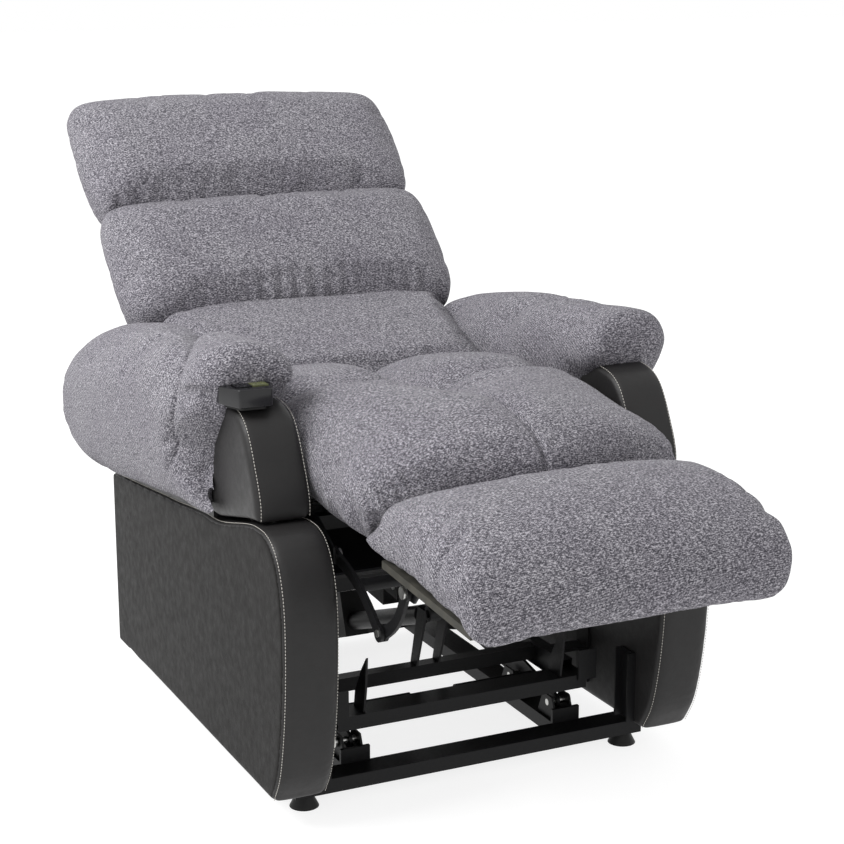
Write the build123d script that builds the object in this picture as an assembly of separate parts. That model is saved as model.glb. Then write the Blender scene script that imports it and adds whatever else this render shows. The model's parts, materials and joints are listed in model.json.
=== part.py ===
from build123d import *
import math
import os

# Lift recliner chair, in millimetres. +Z is up and the sitter faces -Y.
# It rests with the back reclined, the footrest raised and the lift down.
# Y is counted from the front of the side panels here, and moved to the chair's middle on export.

# ---- driving dimensions ----
Y_MIDDLE = 454.0

PANEL_OUT = 396.0
PANEL_IN = 299.0
PANEL_Z = 54.0
PANEL_WALL = 12.0

RAIL_DEEP = 50.0
RAIL_HIGH = 25.0
RAIL_WALL = 2.0
FOOT_D = 50.0
FOOT_H = 24.0
FOOT_X = 334.0
BASE_FRONT_Y = 62.0
BASE_REAR_Y = 740.0
BASE_RAIL_X = 205.0

PLATE = 6.0
BOLT_R = 6.0
RUNNING = 0.05
LINK_W = 28.0
FRONT_LINK_X = 203.0
REAR_LINK_X = 211.0

# lift linkage: pivots (y, z) with the lift down, and the angles at full lift
FRONT_BASE = (145.0, 76.0)
FRONT_LINK_LENGTH = 215.0
FRONT_LINK_SLOPE = 11.0
LIFT_SWING = 70.0
LIFT_TILT = 25.0
REAR_TOP = (700.0, 120.0)
REAR_BASE_Z = 76.0

# footrest linkage: pivots (y, z) with the footrest raised, and the turn that stows it
STOW_CENTRE = (20.0, 530.0)
STOW_TURN = 88.0
OTTO_CHASSIS = (60.0, 440.0)
OTTO_ELBOW = (-112.0, 362.0)
OTTO_BOARD = (-192.0, 452.0)
LINK_A_X = 259.0
LINK_B_X = 251.0
BOW_A = -16.0
BOW_B = 14.0
BRACKET_X = 243.0

# back: hinge (y, z), slope of the reclined back above level, and the turn to upright
BACK_HINGE = (640.0, 450.0)
BACK_SLOPE = 42.0
BACK_TURN = 34.0
BACK_HALF = 300.0
PILLOW_HALF = 348.0
LOWER_HALF = 284.0
BACK_CLEAR_R = 190.0

# actuators: fixed pivot and rod pivot (y, z) at rest
LIFT_MOTOR_FIXED = (700.0, 74.0)
LIFT_MOTOR_ROD = (230.0, 246.0)
BACK_MOTOR_FIXED = (330.0, 270.0)
BACK_MOTOR_ROD = (680.0, 290.0)

SEAT_HALF = 290.0
KEY_TRAVEL = 1.5

os.makedirs("parts", exist_ok=True)
nodes = {}


# ---- small geometry helpers, in the (y, z) side view ----
def turned(p, centre, degrees):
    """The point p turned about centre, from +Y towards +Z."""
    a = math.radians(degrees)
    y = p[0] - centre[0]
    z = p[1] - centre[1]
    return (centre[0] + y * math.cos(a) - z * math.sin(a),
            centre[1] + y * math.sin(a) + z * math.cos(a))


def angle_of(a, b):
    return math.degrees(math.atan2(b[1] - a[1], b[0] - a[0]))


def back_point(along, proud):
    """A point of the reclined back: distance up the back from the hinge, and out of it."""
    a = math.radians(BACK_SLOPE)
    return (BACK_HINGE[0] + along * math.cos(a) - proud * math.sin(a),
            BACK_HINGE[1] + along * math.sin(a) + proud * math.cos(a))


# ---- linkage geometry worked out from the driving dimensions ----
FRONT_TOP = turned((FRONT_BASE[0] + FRONT_LINK_LENGTH, FRONT_BASE[1]), FRONT_BASE, FRONT_LINK_SLOPE)


def lifted(p):
    """Where a chassis point stands at full lift."""
    top = turned(FRONT_TOP, FRONT_BASE, LIFT_SWING)
    q = turned(p, FRONT_TOP, LIFT_TILT)
    return (q[0] + top[0] - FRONT_TOP[0], q[1] + top[1] - FRONT_TOP[1])


def rear_base():
    """The rear base pivot stands at the same distance from both end places of the rear top pivot."""
    a, b = REAR_TOP, lifted(REAR_TOP)
    mid = ((a[0] + b[0]) / 2, (a[1] + b[1]) / 2)
    chord = (b[0] - a[0], b[1] - a[1])
    back = (mid[1] - REAR_BASE_Z) / -chord[0]
    return (mid[0] - back * chord[1], REAR_BASE_Z)


REAR_BASE = rear_base()
REAR_SWING = angle_of(REAR_BASE, lifted(REAR_TOP)) - angle_of(REAR_BASE, REAR_TOP)
LINK_A = math.dist(OTTO_CHASSIS, OTTO_ELBOW)
LINK_B = math.dist(OTTO_ELBOW, OTTO_BOARD)
BOARD_STOWED = turned(OTTO_BOARD, STOW_CENTRE, STOW_TURN)
reach = math.dist(OTTO_CHASSIS, BOARD_STOWED)
knee = math.degrees(math.acos((LINK_A ** 2 + reach ** 2 - LINK_B ** 2) / (2 * LINK_A * reach)))
elbow_angle = angle_of(OTTO_CHASSIS, BOARD_STOWED) + knee
ELBOW_STOWED = turned((OTTO_CHASSIS[0] + LINK_A, OTTO_CHASSIS[1]), OTTO_CHASSIS, elbow_angle)
OTTO_A = (elbow_angle - angle_of(OTTO_CHASSIS, OTTO_ELBOW)) % 360
OTTO_B = (angle_of(ELBOW_STOWED, BOARD_STOWED) - angle_of(OTTO_ELBOW, OTTO_BOARD)) % 360 - OTTO_A
OTTO_C = STOW_TURN - OTTO_A - OTTO_B


# ---- solids ----
def block(x0, x1, y0, y1, z0, z1):
    return Pos((x0 + x1) / 2, (y0 + y1) / 2, (z0 + z1) / 2) * Box(x1 - x0, y1 - y0, z1 - z0)


def rod_x(p, radius, x0, x1):
    """A round bar along X at the side-view point p."""
    return Pos((x0 + x1) / 2, p[0], p[1]) * Rot(0, 90, 0) * Cylinder(radius, x1 - x0)


def profile(points, x0, x1):
    """A side-view outline of (y, z) points drawn out along X."""
    outline = Polyline([(x0, y, z) for y, z in points], close=True)
    return extrude(make_face(outline), x1 - x0, dir=(1, 0, 0))


def smooth_profile(points, x0, x1, soft):
    """A side-view outline with every corner rounded by soft."""
    plane = Plane(origin=(x0, 0, 0), x_dir=(0, 1, 0), z_dir=(1, 0, 0))
    face = make_face(FilletPolyline(*points, radius=soft, close=True))
    return extrude(plane * face, x1 - x0)


def tube_x(x0, x1, y0, z0, deep=RAIL_DEEP, high=RAIL_HIGH):
    hollow = block(x0 - 1, x1 + 1, y0 + RAIL_WALL, y0 + deep - RAIL_WALL,
                   z0 + RAIL_WALL, z0 + high - RAIL_WALL)
    return block(x0, x1, y0, y0 + deep, z0, z0 + high) - hollow


def tube_y(x0, x1, y0, y1, z0, z1):
    hollow = block(x0 + RAIL_WALL, x1 - RAIL_WALL, y0 - 1, y1 + 1, z0 + RAIL_WALL, z1 - RAIL_WALL)
    return block(x0, x1, y0, y1, z0, z1) - hollow


def link(a, b, x_mid, width=LINK_W, bore_a=BOLT_R + RUNNING, bore_b=BOLT_R + RUNNING):
    """A flat bar with round ends between the pivots a and b, bored at both."""
    x0 = x_mid - PLATE / 2
    x1 = x_mid + PLATE / 2
    slope = angle_of(a, b)
    side = width / 2
    corners = [turned((a[0], a[1] + s * side), a, slope) for s in (1, -1)]
    corners += [turned((b[0], b[1] + s * side), b, slope) for s in (-1, 1)]
    bar = profile(corners, x0, x1) + rod_x(a, side, x0, x1) + rod_x(b, side, x0, x1)
    bar -= rod_x(a, bore_a, x0 - 1, x1 + 1)
    return bar - rod_x(b, bore_b, x0 - 1, x1 + 1)


def bowed_link(a, b, x_mid, bow, bore_b=BOLT_R + RUNNING):
    """A flat bar that bows sideways between its round ends at the pivots a and b."""
    x0 = x_mid - PLATE / 2
    x1 = x_mid + PLATE / 2
    slope = angle_of(a, b)
    length = math.dist(a, b)
    edges = ([], [])
    for n in range(9):
        t = n / 8
        half = 12.0 - 3.0 * math.sin(math.pi * t)
        for edge, side in zip(edges, (half, -half)):
            edge.append(turned((a[0] + length * t, a[1] + bow * math.sin(math.pi * t) + side), a, slope))
    bar = profile(edges[0] + edges[1][::-1], x0, x1) + rod_x(a, 14.0, x0, x1) + rod_x(b, 14.0, x0, x1)
    bar -= rod_x(a, BOLT_R + RUNNING, x0 - 1, x1 + 1)
    return bar - rod_x(b, bore_b, x0 - 1, x1 + 1)


def mirrored(solid):
    return mirror(solid, Plane.YZ)


def both(solid):
    """The solid and its mirror image on the other side of the chair."""
    return [solid, mirrored(solid)]


def flat(items):
    out = []
    for item in items:
        out += item.solids() if not isinstance(item, list) else flat(item)
    return out


def keep(name, *items):
    """Note the solids of one named piece."""
    nodes[name] = flat(items)


def bolt(p, x0, x1, head_at):
    """A shoulder bolt along X with a domed head of 10 mm radius at the end head_at."""
    shank = rod_x(p, BOLT_R, x0, x1)
    step = 4.0 if head_at == x1 else -4.0
    head = rod_x(p, 10.0, min(head_at, head_at + step), max(head_at, head_at + step))
    return shank + head


# ---- base frame on the floor ----
def base():
    keep("base_front_rail", tube_x(-FOOT_X, FOOT_X, BASE_FRONT_Y, FOOT_H))
    keep("base_rear_rail", tube_x(-FOOT_X, FOOT_X, BASE_REAR_Y, FOOT_H))
    x0 = BASE_RAIL_X - RAIL_DEEP / 2
    x1 = BASE_RAIL_X + RAIL_DEEP / 2
    top = FOOT_H + RAIL_HIGH
    rail = tube_y(x0, x1, BASE_FRONT_Y + RAIL_DEEP, BASE_REAR_Y, FOOT_H, top)
    keep("base_side_rails", both(rail))

    def cheeks(p, front):
        """Two upright lug plates with the pivot bore, joined by a gusset at the front."""
        low = p[0] - 34
        outline = [(low, top), (p[0] + 34, top), (p[0] + 16, p[1] + 14), (p[0] - 16, p[1] + 14)]
        out = []
        for x in (188.0, 222.0):
            plate = profile(outline, x - 2, x + 2)
            out.append(plate - rod_x(p, BOLT_R, x - 3, x + 3))
        joined = out[0] + out[1]
        if front:
            gusset = block(178, 232, low - 2, low + 5, top, top + 26)
            joined = joined + gusset
        return joined

    keep("base_link_lugs", both(cheeks(FRONT_BASE, True)), both(cheeks(REAR_BASE, False)))
    feet = []
    for y in (BASE_FRONT_Y + RAIL_DEEP / 2, BASE_REAR_Y + RAIL_DEEP / 2):
        cone = Pos(FOOT_X - FOOT_D / 2, y, FOOT_H / 2) * Cone(FOOT_D / 2, 13.0, FOOT_H)
        feet.append(both(cone))
    keep("base_feet", feet)
    y, z = LIFT_MOTOR_FIXED
    ears = []
    for x in (-30.0, 30.0):
        ear = block(x - 2, x + 2, y - 16, BASE_REAR_Y, z - 16, z + 16)
        ears.append(ear - rod_x((y, z), BOLT_R, x - 3, x + 3))
    strap = block(-32, 32, BASE_REAR_Y - 4, BASE_REAR_Y, FOOT_H + 2, z + 16)
    keep("base_motor_lug", ears[0] + ears[1] + strap)
    keep("base_pivot_bolts", both(bolt(FRONT_BASE, 186.0, 226.0, 226.0)),
         both(bolt(REAR_BASE, 186.0, 226.0, 226.0)), rod_x((y, z), BOLT_R, -34, 34))


# ---- lift links ----
def lift_links():
    front = link(FRONT_BASE, FRONT_TOP, FRONT_LINK_X)
    keep("lift_front_links", both(front))
    mid = turned((FRONT_BASE[0] + FRONT_LINK_LENGTH * 0.42, FRONT_BASE[1]), FRONT_BASE, FRONT_LINK_SLOPE)
    reach_x = FRONT_LINK_X - PLATE / 2
    keep("lift_tie_rod", rod_x(mid, 9.0, 45.0, reach_x), rod_x(mid, 9.0, -reach_x, -45.0))
    stud = rod_x(REAR_TOP, 10.0, REAR_LINK_X - 8.0, REAR_LINK_X - PLATE / 2)
    rear = link(REAR_BASE, REAR_TOP, REAR_LINK_X, bore_b=1.0)
    keep("lift_rear_links", both(rear + stud))


# ---- lift frame: the part of the chassis that the links carry ----
LIFT_BAR_Z = 112.0
LIFT_SIDE_X0 = 218.0
LIFT_SIDE_X1 = 240.0
REAR_BAR_Y = 770.0
FRONT_CROSS_Z = 118.0


def lift_frame():
    keep("lift_frame_front_bar", tube_x(-LIFT_SIDE_X1, LIFT_SIDE_X1, 100.0, LIFT_BAR_Z))
    crosses = [tube_x(-LIFT_SIDE_X0, LIFT_SIDE_X0, y, z, 25.0, 25.0)
               for y, z in ((250.0, FRONT_CROSS_Z), (REAR_BAR_Y, 124.0))]
    keep("lift_frame_cross_bars", crosses)
    side = tube_y(LIFT_SIDE_X0, LIFT_SIDE_X1, 150.0, 800.0, 105.0, 149.0)
    keep("lift_frame_side_rails", both(side))
    end = block(222, 258, 96, 100, 128, 184)
    keep("lift_frame_end_plates", both(end))
    horn = [(105, 137), (145, 137), (140, 165), (122, 196), (112, 214), (92, 240), (94, 212), (97, 180)]
    keep("lift_frame_horns", both(profile(horn, 188, 192)))
    brackets = []
    for y in (190.0, 600.0):
        shelf = block(LIFT_SIDE_X1, PANEL_IN - 4, y, y + 40, 145, 149)
        brackets.append(both(shelf + block(PANEL_IN - 4, PANEL_IN, y, y + 40, 80, 190)))
    channel = block(PANEL_IN - 4, PANEL_IN, 30, 74, 62, 190)
    for y in (30.0, 70.0):
        channel += block(PANEL_IN - 16, PANEL_IN - 3, y, y + 4, 62, 190)
    keep("panel_brackets", brackets, both(channel))
    y, z = LIFT_MOTOR_ROD
    ears = []
    for x in (-22.0, 22.0):
        ear = profile([(y - 12, z - 10), (y - 12, z + 12), (y + 14, z + 12), (275, FRONT_CROSS_Z + 25),
                       (250, FRONT_CROSS_Z + 25)], x - 2, x + 2)
        ears.append(ear + rod_x((y, z), BOLT_R, min(x, x * 0.7), max(x, x * 0.7)))
    keep("lift_rod_lugs", ears)


# ---- seat ----
SEAT_SIDE_X0 = 266.0
SEAT_SIDE_X1 = 270.0
SEAT_FRONT_Y = 186.0
SEAT_REAR_Y = 575.0
SEAT_RAIL_Z = 442.0
SPRING_Z = SEAT_RAIL_Z + 28.0


def spring(x_mid):
    """One sinuous spring wire, a zigzag of straight runs, from the front seat rail to the rear one."""
    step = 40.0
    swing = 18.0
    y = SEAT_FRONT_Y + 30
    points = [(x_mid, y - 12, SPRING_Z)]
    side = 1
    while y < SEAT_REAR_Y - 20:
        points.append((x_mid + side * swing, y, SPRING_Z))
        points.append((x_mid + side * swing, y + step * 0.45, SPRING_Z))
        side = -side
        y += step
    points.append((x_mid, SEAT_REAR_Y + 12, SPRING_Z))
    path = FilletPolyline(*points, radius=6.0)
    section = Plane(origin=path @ 0, z_dir=path % 0) * Circle(1.9)
    return sweep(section, path=path)


def seat():
    plate_outline = [(88, 395), (690, 395), (690, 478), (600, 492), (110, 492), (42, 458), (42, 430), (74, 430)]
    plate = profile(plate_outline, SEAT_SIDE_X0, SEAT_SIDE_X1)
    plate -= rod_x(OTTO_CHASSIS, BOLT_R, SEAT_SIDE_X0 - 1, SEAT_SIDE_X1 + 1)
    plate -= rod_x(BACK_HINGE, BOLT_R, SEAT_SIDE_X0 - 1, SEAT_SIDE_X1 + 1)
    keep("seat_side_plates", both(plate))
    spacers = []
    for y in (120.0, 350.0, 560.0):
        spacers.append(both(block(SEAT_SIDE_X1, PANEL_IN, y, y + 40, 400, 430)))
    keep("seat_side_spacers", spacers)
    rails = []
    for y in (SEAT_FRONT_Y, SEAT_REAR_Y):
        rails.append(tube_x(-SEAT_SIDE_X0, SEAT_SIDE_X0, y, SEAT_RAIL_Z, 25.0, 25.0))
    keep("seat_rails", rails)
    keep("seat_springs", [spring(x) for x in (-200.0, -100.0, 0.0, 100.0, 200.0)])
    cover = block(-244, 244, 96, 335, 391, 395) + block(-SEAT_SIDE_X1, SEAT_SIDE_X1, 335, 600, 391, 395)
    keep("seat_dust_cover", cover)
    y, z = BACK_MOTOR_FIXED
    bar = tube_x(-SEAT_SIDE_X0, SEAT_SIDE_X0, y - 40, z + 20, 25.0, 25.0)
    hangers = block(SEAT_SIDE_X0 - 4, SEAT_SIDE_X0, y - 40, y - 15, z + 45, 395)
    feet = block(SEAT_SIDE_X0 - 4, SEAT_SIDE_X1, y - 40, y - 15, 391, 395)
    ears = []
    for x in (-30.0, 30.0):
        ear = block(x - 2, x + 2, y - 15, y + 16, z - 16, z + 45)
        ears.append(ear - rod_x((y, z), BOLT_R, x - 3, x + 3))
    keep("back_motor_bar", bar + ears[0] + ears[1] + hangers + feet + mirrored(hangers + feet))
    inner = LINK_A_X - PLATE / 2 - 2
    keep("chassis_pivot_bolts", both(bolt(OTTO_CHASSIS, inner, SEAT_SIDE_X1, inner)),
         both(bolt(BACK_HINGE, 254.0, SEAT_SIDE_X1, 254.0)),
         both(bolt(FRONT_TOP, 194.0, LIFT_SIDE_X0, 194.0)), rod_x((y, z), BOLT_R, -34, 34))


def seat_cushion():
    """The seat pad: front roll, gently rising top, and a rear that leaves room for the back."""
    outline = [(-66, 500), (-66, 560), (-44, 606), (20, 632), (200, 648), (420, 640), (536, 626)]
    for a in (118, 130, 142, 154, 166):
        r = math.radians(a)
        clear = BACK_CLEAR_R + 8
        outline.append((BACK_HINGE[0] + clear * math.cos(r), BACK_HINGE[1] + clear * math.sin(r)))
    outline += [(442, 496), (60, 496), (0, 482)]
    keep("seat_cushion", profile(outline, -SEAT_HALF, SEAT_HALF))


# ---- side panels, arms ----
def panel_outline(inset):
    front = [(12, PANEL_Z), (-16, 110), (-38, 200), (-50, 300), (-48, 400), (-34, 450), (-8, 486), (18, 500)]
    top = [(60, 502), (115, 494), (233, 466), (446, 444), (660, 420), (856, 397)]
    rear = [(852, PANEL_Z)]
    points = front + top + rear
    mid = (400.0, 270.0)
    out = []
    for y, z in points:
        dy = 1 if y > mid[0] else -1
        dz = 1 if z > mid[1] else -1
        out.append((y - dy * inset, z - dz * inset))
    return out


def side_panel():
    skin = profile(panel_outline(0.0), PANEL_IN, PANEL_OUT)
    hollow = profile(panel_outline(PANEL_WALL), PANEL_IN + PANEL_WALL, PANEL_OUT - PANEL_WALL)
    return skin - hollow


FACING_TOP = 676.0
CORE_Y0 = 268.0
FACING_LEDGE = 9.0          # the dark gap between a facing's foot and the panel's top
POD_X = -366.0
POD_Y0 = 120.0
POD_Y1 = 214.0


def arm_facing():
    """The leather wedge at the arm's front, above the side panel."""
    outline = [(58, 511), (60, 534), (70, 566), (89, 604), (107, 638), (128, 662), (164, FACING_TOP),
               (CORE_Y0 - 1, FACING_TOP), (CORE_Y0 - 1, 463 + FACING_LEDGE), (233, 466 + FACING_LEDGE),
               (115, 494 + FACING_LEDGE), (88, 508)]
    return profile(outline, PANEL_IN + 1, PANEL_OUT - 6)


def arm_core():
    outline = [(CORE_Y0, 464), (CORE_Y0, 650), (790, 560), (790, 406), (660, 421), (446, 445)]
    return profile(outline, PANEL_IN + 3, PANEL_OUT - 4)


def arm_pad(room_for_pod):
    """The saddle pad: a thick top over the arm box and a flap down its outer side."""
    if room_for_pod:
        front = [(CORE_Y0 - 1, 684), (POD_Y1 + 6, 684), (POD_Y1 + 6, 724), (170, 724), (164, 740)]
    else:
        front = [(CORE_Y0 - 1, 684), (176, 684), (164, 720)]
    top_line = [(CORE_Y0 + 5, 656)] + front + [(178, 758), (215, 768), (300, 756), (445, 738), (563, 726),
                                               (688, 700), (800, 640), (842, 580), (806, 566)]
    top = smooth_profile(top_line, 294.0, 398.0, 3.0)
    flap_line = [(206, 650), (196, 700), (215, 734), (260, 748), (445, 730), (563, 716), (688, 690),
                 (800, 632), (860, 570), (864, 540), (800, 480), (640, 450), (430, 468), (310, 478), (240, 560)]
    flap = smooth_profile(flap_line, 398.0, 452.0, 6.0)
    return top + flap


def arms():
    for name, side in (("right", 1), ("left", -1)):
        for part, solid in (("side_panel", side_panel()), ("arm_facing", arm_facing()),
                            ("arm_pad", arm_pad(side < 0))):
            keep(f"{part}_{name}", solid if side > 0 else mirrored(solid))
    keep("arm_boxes", both(arm_core()))
    screws = []
    for y in (100.0, 200.0):
        pin = Pos(348, y, 490) * Cylinder(4.0, 50.0) - arm_facing() - profile(panel_outline(0.0), PANEL_IN, PANEL_OUT)
        screws.append(both(pin))
    keep("facing_screws", screws)


# ---- handset pod on the left arm's facing, its rear half under the arch of the pad ----
def pod_body(inset, z0, z1):
    """The pod's plan: a square front that widens towards the back, with rounded upright edges."""
    plan = [(-27, 4), (27, 0), (41, 34), (41, 94), (-28, 94), (-28, 80), (-46, 64), (-46, 50)]
    points = []
    for x, y in plan:
        points.append((POD_X + x * (1 - inset / 46), POD_Y0 + 47 + (y - 47) * (1 - inset / 47)))
    body = extrude(Plane.XY.offset(z0) * make_face(Polyline(*points, close=True)), amount=z1 - z0)
    return fillet(body.edges().filter_by(Axis.Z), 5.0)


def handset():
    keep("handset_plinth", pod_body(12, FACING_TOP, FACING_TOP + 6))
    floor = FACING_TOP + 26
    shell = pod_body(0, FACING_TOP + 6, FACING_TOP + 36)
    pocket_y0, pocket_y1 = POD_Y0 + 22, POD_Y0 + 58
    shell -= block(POD_X - 26, POD_X + 30, pocket_y0, pocket_y1, floor, FACING_TOP + 37)
    keep("handset_housing", shell)
    for name, x0, x1 in (("handset_key_lower", POD_X - 25.4, POD_X + 1.4),
                         ("handset_key_raise", POD_X + 2.6, POD_X + 29.4)):
        key = block(x0, x1, pocket_y0 + 0.6, pocket_y1 - 0.6, floor + KEY_TRAVEL, FACING_TOP + 37.5)
        keep(name, key)


# ---- reclining back ----
def on_back(points, x0, x1):
    return profile([back_point(a, b) for a, b in points], x0, x1)


def back():
    tube = on_back([(-30, -38), (905, -38), (905, -13), (-30, -13)], 240, 258)
    eye = rod_x(BACK_HINGE, 20, 258, 264) - rod_x(BACK_HINGE, BOLT_R + RUNNING, 257, 265)
    web = on_back([(-18, -20), (18, -20), (14, 16), (-14, 16)], 258, 264)
    web -= rod_x(BACK_HINGE, BOLT_R + RUNNING, 257, 265)
    keep("back_side_tubes", both(tube))
    keep("back_hinge_plates", both(eye + web))
    cross = []
    for a in (60.0, 350.0, 620.0, 860.0):
        cross.append(on_back([(a, -38), (a + 25, -38), (a + 25, -13), (a, -13)], -240, 240))
    keep("back_cross_tubes", cross)
    low = on_back([(92, -44), (350, -44), (350, -39), (92, -39)], -LOWER_HALF + 6, LOWER_HALF - 6)
    wide = on_back([(350, -44), (900, -44), (900, -39), (350, -39)], -BACK_HALF, BACK_HALF)
    keep("back_shell", low + wide)
    y, z = BACK_MOTOR_ROD
    levers = []
    for x in (-16.0, 16.0):
        outline = [back_point(64, -38), back_point(84, -38), (y + 12, z - 8), (y - 12, z - 8)]
        plate = profile(outline, x - 2, x + 2)
        levers.append(plate + rod_x((y, z), BOLT_R, min(x, x * 0.7), max(x, x * 0.7)))
    keep("back_levers", levers)


def pillows():
    lower = [(80, -8), (336, -8), (336, 24), (297, 58), (220, 96)]
    for a in (43, 52, 62, 72, 82):
        r = math.radians(a)
        lower.append((BACK_CLEAR_R * math.cos(r), BACK_CLEAR_R * math.sin(r)))
    keep("lower_back_pillow", on_back(lower, -LOWER_HALF, LOWER_HALF))
    mid = [(342, -8), (612, -8), (612, 60), (560, 88), (420, 90), (352, 62)]
    keep("mid_back_pillow", on_back(mid, -PILLOW_HALF, PILLOW_HALF))
    head = [(616, -8), (916, -8), (916, 30), (880, 74), (820, 90), (690, 88), (630, 66)]
    keep("headrest_pillow", on_back(head, -PILLOW_HALF, PILLOW_HALF))


# ---- footrest ----
def footrest():
    keep("otto_links_a", both(bowed_link(OTTO_CHASSIS, OTTO_ELBOW, LINK_A_X, BOW_A, bore_b=BOLT_R)))
    keep("otto_elbow_bolts", both(bolt(OTTO_ELBOW, LINK_B_X - PLATE / 2 - 0.3, LINK_A_X + PLATE / 2 + 2,
                                       LINK_B_X - PLATE / 2 - 0.3)))
    keep("otto_links_b", both(bowed_link(OTTO_ELBOW, OTTO_BOARD, LINK_B_X, BOW_B)))
    mid = turned((OTTO_CHASSIS[0] + LINK_A / 2, OTTO_CHASSIS[1] + BOW_A), OTTO_CHASSIS,
                 angle_of(OTTO_CHASSIS, OTTO_ELBOW))
    reach_x = LINK_A_X - PLATE / 2
    keep("otto_torque_tube", rod_x(mid, 11.0, -reach_x, reach_x))
    board = [(-130, 486), (-130, 474), (-428, 456), (-428, 468)]
    keep("footrest_board", profile(board, -262, 262))
    y, z = OTTO_BOARD
    ear = [(y - 40, z + 13), (y + 40, z + 17.5), (y + 16, z - 14), (y - 16, z - 14)]
    ear_plate = profile(ear, BRACKET_X - 2, BRACKET_X + 2)
    keep("footrest_brackets", both(ear_plate - rod_x(OTTO_BOARD, BOLT_R, BRACKET_X - 3, BRACKET_X + 3)))
    keep("otto_board_bolts", both(bolt(OTTO_BOARD, BRACKET_X - 2, LINK_B_X + PLATE / 2 + 0.3,
                                       LINK_B_X + PLATE / 2 + 0.3)))
    pad = [(-92, 500), (-92, 540), (-112, 574), (-160, 592), (-290, 594), (-380, 574), (-426, 542),
           (-438, 500), (-438, 470), (-130, 488)]
    keep("footrest_pad", profile(pad, -280, 280))


# ---- actuators ----
def actuator(name, fixed, rod_end, motor_drop):
    """Gear motor housing, guide tube and push rod along the line between two pivots."""
    length = math.dist(fixed, rod_end)
    slope = math.radians(angle_of(fixed, rod_end))
    direction = (0, math.cos(slope), math.sin(slope))
    side = Plane(origin=(0, fixed[0], fixed[1]), x_dir=direction, z_dir=(1, 0, 0))

    def across(distance):
        """The plane square to the actuator at a distance from its fixed pivot."""
        origin = (0, fixed[0] + distance * direction[1], fixed[1] + distance * direction[2])
        return Plane(origin=origin, z_dir=direction)

    body = extrude(side * Pos(65, 0) * Rectangle(130, 56), 24, both=True)
    motor = extrude(side * Pos(95, motor_drop) * Rectangle(70, 52), 24, both=True)
    eye = extrude(side * Circle(17), 24, both=True)
    keep(f"{name}_housing", body + motor + eye - rod_x(fixed, BOLT_R + RUNNING, -40, 40))
    keep(f"{name}_tube", extrude(across(130) * (Circle(17) - Circle(11)), length - 176))
    rod = extrude(across(136) * Circle(9), length - 152)
    neck = extrude(side * Pos(length - 16, 0) * Rectangle(22, 18), 9, both=True)
    tip = extrude(side * Pos(length, 0) * Circle(14), 11, both=True)
    bore = rod_x(rod_end, BOLT_R + 2.0, -20, 20)
    keep(f"{name}_rod", rod + neck + tip - bore)


def control_box():
    keep("control_box", block(-190, -90, REAR_BAR_Y - 120, REAR_BAR_Y, 118, 158))


base()
lift_links()
lift_frame()
seat()
seat_cushion()
arms()
handset()
back()
pillows()
footrest()
actuator("lift_motor", LIFT_MOTOR_FIXED, LIFT_MOTOR_ROD, -34.0)
actuator("back_motor", BACK_MOTOR_FIXED, BACK_MOTOR_ROD, -34.0)
control_box()

if __name__ == "__main__":
    for name, solids in nodes.items():
        moved = [Pos(0, -Y_MIDDLE, 0) * s for s in solids]
        whole = Compound(children=moved) if len(moved) > 1 else moved[0]
        export_step(whole, f"parts/{name}.step")
    print(len(nodes), "pieces")
    print("lift", round(REAR_SWING, 2), "rear base", [round(v, 1) for v in REAR_BASE])
    print("footrest", round(OTTO_A, 2), round(OTTO_B, 2), round(OTTO_C, 2))
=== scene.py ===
import json
import math

import bmesh
import bpy
import numpy as np
from mathutils import Matrix, Vector


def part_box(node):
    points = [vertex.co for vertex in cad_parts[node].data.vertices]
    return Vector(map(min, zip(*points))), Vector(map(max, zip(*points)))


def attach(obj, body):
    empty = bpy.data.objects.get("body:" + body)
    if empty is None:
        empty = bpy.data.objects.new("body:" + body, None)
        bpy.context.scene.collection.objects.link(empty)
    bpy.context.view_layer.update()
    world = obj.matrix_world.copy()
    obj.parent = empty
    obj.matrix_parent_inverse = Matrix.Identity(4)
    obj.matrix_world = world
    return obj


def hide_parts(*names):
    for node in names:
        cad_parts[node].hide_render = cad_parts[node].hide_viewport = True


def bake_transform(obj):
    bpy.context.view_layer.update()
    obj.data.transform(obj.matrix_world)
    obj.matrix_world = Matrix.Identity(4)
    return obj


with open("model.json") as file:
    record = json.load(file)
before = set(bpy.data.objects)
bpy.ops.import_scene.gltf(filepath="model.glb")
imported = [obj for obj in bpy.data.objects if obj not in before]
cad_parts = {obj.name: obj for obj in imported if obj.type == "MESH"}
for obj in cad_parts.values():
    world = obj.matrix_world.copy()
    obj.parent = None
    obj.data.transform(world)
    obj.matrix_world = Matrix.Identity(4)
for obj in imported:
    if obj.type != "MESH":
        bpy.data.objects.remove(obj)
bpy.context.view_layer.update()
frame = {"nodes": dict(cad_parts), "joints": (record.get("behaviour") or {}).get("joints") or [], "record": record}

# ---- where the chair stands, worked out from the frame ----
PANEL_LOW, PANEL_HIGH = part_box("side_panel_left")
Y0 = PANEL_LOW.y + 0.050          # the front plane from which the chair's depths are counted
PANEL_IN = abs(PANEL_HIGH.x)
PANEL_OUT = abs(PANEL_LOW.x)
HINGE = next(j for j in frame["joints"] if j["name"] == "back_recline")["pos_m"]
BACK_SLOPE = math.radians(42.0)

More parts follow.
